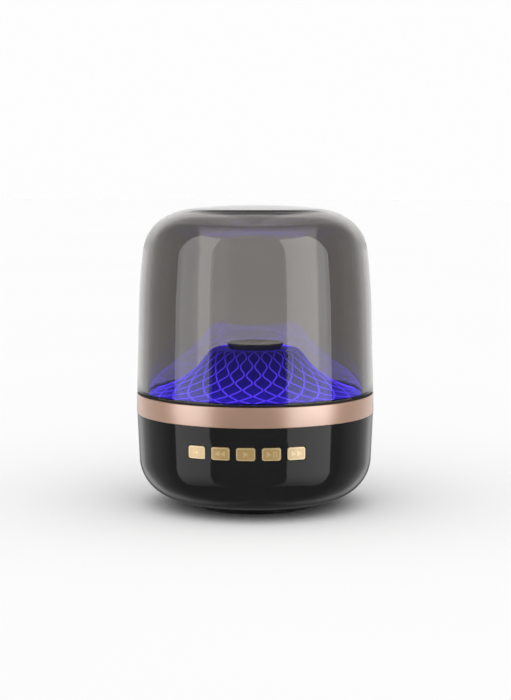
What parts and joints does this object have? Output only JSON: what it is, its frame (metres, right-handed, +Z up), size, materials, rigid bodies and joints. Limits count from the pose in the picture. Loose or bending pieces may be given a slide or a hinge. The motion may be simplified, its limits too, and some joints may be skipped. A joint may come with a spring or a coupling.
{
  "type": "wireless speaker",
  "caption": "Small round wireless speaker with a smoked dome over a glowing lattice light, a trim ring, a gloss base with press keys at the front and a rear charging socket.",
  "frame": {"origin": "centre of the foot's underside, on the table", "axes": "+Z up along the round body's axis; the keys face -Y and the charging socket faces +Y; +X is the right-hand side seen from the keys"},
  "size_m": [0.086, 0.086, 0.1086],
  "materials": {
    "smoked_acrylic": "gloss",
    "rose_gold_metal": "satin",
    "gloss_black": "gloss",
    "foot_rubber": "matte",
    "seal_foam": "matte",
    "frame_black": "matte",
    "light_piece": "gloss",
    "cap_grey": "satin",
    "white_board": "satin",
    "green_board": "satin",
    "led_package": "satin",
    "chip_black": "matte",
    "screw_steel": "satin",
    "basket_steel": "satin",
    "soft_rubber": "matte",
    "gasket_foam": "matte",
    "cone_paper": "matte",
    "dust_cap_film": "satin",
    "spider_cloth": "matte",
    "former_film": "satin",
    "copper_wire": "gloss",
    "plate_steel": "satin",
    "magnet_ferrite": "matte",
    "tag_fibre": "matte",
    "lug_brass": "satin",
    "battery_foil": "satin",
    "battery_tape": "matte",
    "can_aluminium": "satin",
    "inductor_grey": "matte",
    "crystal_steel": "satin",
    "socket_nylon": "satin",
    "socket_steel": "satin",
    "tongue_black": "satin",
    "knob_black": "satin",
    "key_gold": "satin",
    "button_plastic": "satin",
    "lead_sheath": "satin"
  },
  "bodies": {
    "body": {"foot_pad": "foot_rubber", "base_shell": "gloss_black", "trim_ring": "rose_gold_metal", "deck_frame": "frame_black", "dome_seal": "seal_foam", "dome_cover": "smoked_acrylic", "light_cone": "light_piece", "cone_cap": "cap_grey", "led_board": "white_board", "leds": "led_package", "case_screws": "screw_steel", "baffle_plate": "frame_black", "baffle_screws": "screw_steel", "driver_gasket": "gasket_foam", "driver_basket": "basket_steel", "driver_surround": "soft_rubber", "driver_spider": "spider_cloth", "driver_top_plate": "plate_steel", "driver_magnet": "magnet_ferrite", "driver_yoke": "plate_steel", "driver_tag_board": "tag_fibre", "driver_terminals": "lug_brass", "driver_screws": "screw_steel", "battery_cell": "battery_foil", "battery_guard_board": "green_board", "battery_pad": "battery_tape", "main_board": "green_board", "bluetooth_chip": "chip_black", "amplifier_chip": "chip_black", "power_inductor": "inductor_grey", "crystal_can": "crystal_steel", "board_capacitors": "can_aluminium", "lead_sockets": "socket_nylon", "board_screws": "screw_steel", "usb_c_shell": "socket_steel", "usb_c_tongue": "tongue_black", "power_switch": "socket_steel", "key_board": "green_board", "tact_switches": "socket_steel", "battery_leads": "lead_sheath", "speaker_leads": "lead_sheath", "led_leads": "lead_sheath", "key_leads": "lead_sheath"},
    "key_1": {"key_cap_1": "key_gold", "tact_button_1": "button_plastic"},
    "key_2": {"key_cap_2": "key_gold", "tact_button_2": "button_plastic"},
    "key_3": {"key_cap_3": "key_gold", "tact_button_3": "button_plastic"},
    "key_4": {"key_cap_4": "key_gold", "tact_button_4": "button_plastic"},
    "key_5": {"key_cap_5": "key_gold", "tact_button_5": "button_plastic"},
    "driver_cone": {"driver_diaphragm": "cone_paper", "driver_dust_cap": "dust_cap_film", "voice_coil_former": "former_film", "voice_coil": "copper_wire"},
    "switch": {"switch_knob": "knob_black"}
  },
  "joints": [
    {"name": "key_1_press", "type": "slide", "parent": "body", "child": "key_1", "axis": [0, 1, 0], "range_m": [0, 0.0005], "stiffness_N_per_m": 1000, "springref_m": -0.0006},
    {"name": "key_2_press", "type": "slide", "parent": "body", "child": "key_2", "axis": [0, 1, 0], "range_m": [0, 0.0005], "stiffness_N_per_m": 1000, "springref_m": -0.0006},
    {"name": "key_3_press", "type": "slide", "parent": "body", "child": "key_3", "axis": [0, 1, 0], "range_m": [0, 0.0005], "stiffness_N_per_m": 1000, "springref_m": -0.0006},
    {"name": "key_4_press", "type": "slide", "parent": "body", "child": "key_4", "axis": [0, 1, 0], "range_m": [0, 0.0005], "stiffness_N_per_m": 1000, "springref_m": -0.0006},
    {"name": "key_5_press", "type": "slide", "parent": "body", "child": "key_5", "axis": [0, 1, 0], "range_m": [0, 0.0005], "stiffness_N_per_m": 1000, "springref_m": -0.0006},
    {"name": "driver_cone_travel", "type": "slide", "parent": "body", "child": "driver_cone", "axis": [0, 0, 1], "range_m": [-0.0008, 0.0008], "stiffness_N_per_m": 1500, "deforming": ["driver_surround", "driver_spider"]},
    {"name": "power_switch_slide", "type": "slide", "parent": "body", "child": "switch", "axis": [1, 0, 0], "range_m": [0, 0.002]}
  ]
}
